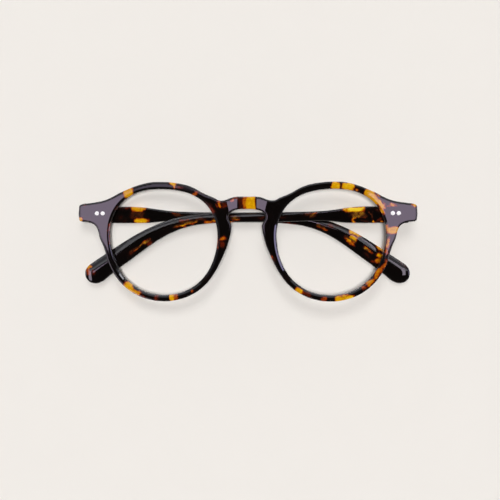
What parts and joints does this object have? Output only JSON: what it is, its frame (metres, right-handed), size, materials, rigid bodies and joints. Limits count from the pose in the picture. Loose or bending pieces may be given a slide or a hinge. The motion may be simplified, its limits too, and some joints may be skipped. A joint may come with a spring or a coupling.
{
  "type": "glasses",
  "caption": "Round acetate blue light glasses with clear lenses, a keyhole bridge and two folding temples on riveted barrel hinges.",
  "frame": {"origin": "middle of the folded glasses' box, on the surface that they lie on", "axes": "+X towards the wearer's left across the front, +Y up the lenses, +Z out of the folded front's face"},
  "size_m": [0.1412, 0.0497, 0.0169],
  "materials": {
    "acetate": "polished tortoiseshell acetate, dark brown with amber patches",
    "pad": "polished tortoiseshell acetate",
    "lens": "clear, polished",
    "steel": "satin",
    "rivet": "polished flush",
    "wire": "knurled"
  },
  "bodies": {
    "outer_temple": {"temple_right": "acetate", "core_wire_right": "wire", "hinge_temple_leaf_right": "steel", "temple_rivet_right_1": "rivet", "temple_rivet_right_2": "rivet"},
    "front": {"frame_front": "acetate", "nose_pad_left": "pad", "nose_pad_right": "pad", "lens_left": "lens", "lens_right": "lens", "hinge_front_leaf_left": "steel", "hinge_front_leaf_right": "steel", "hinge_screw_left": "steel", "hinge_screw_right": "steel", "front_rivet_left_1": "rivet", "front_rivet_left_2": "rivet", "front_rivet_right_1": "rivet", "front_rivet_right_2": "rivet"},
    "inner_temple": {"temple_left": "acetate", "core_wire_left": "wire", "hinge_temple_leaf_left": "steel", "temple_rivet_left_1": "rivet", "temple_rivet_left_2": "rivet"}
  },
  "joints": [
    {"name": "right_hinge", "type": "hinge", "parent": "outer_temple", "child": "front", "pos_m": [-0.06574, -0.00026, 0.0046], "axis": [0, -1, 0], "range_deg": [0, 87.25]},
    {"name": "left_hinge", "type": "hinge", "parent": "front", "child": "inner_temple", "pos_m": [0.06611, -0.00026, 0.01093], "axis": [0, -1, 0], "range_deg": [0, 91.2]}
  ],
  "couplings": [
    {"joint": "left_hinge", "follows": "right_hinge", "ratio": 0.35}
  ]
}
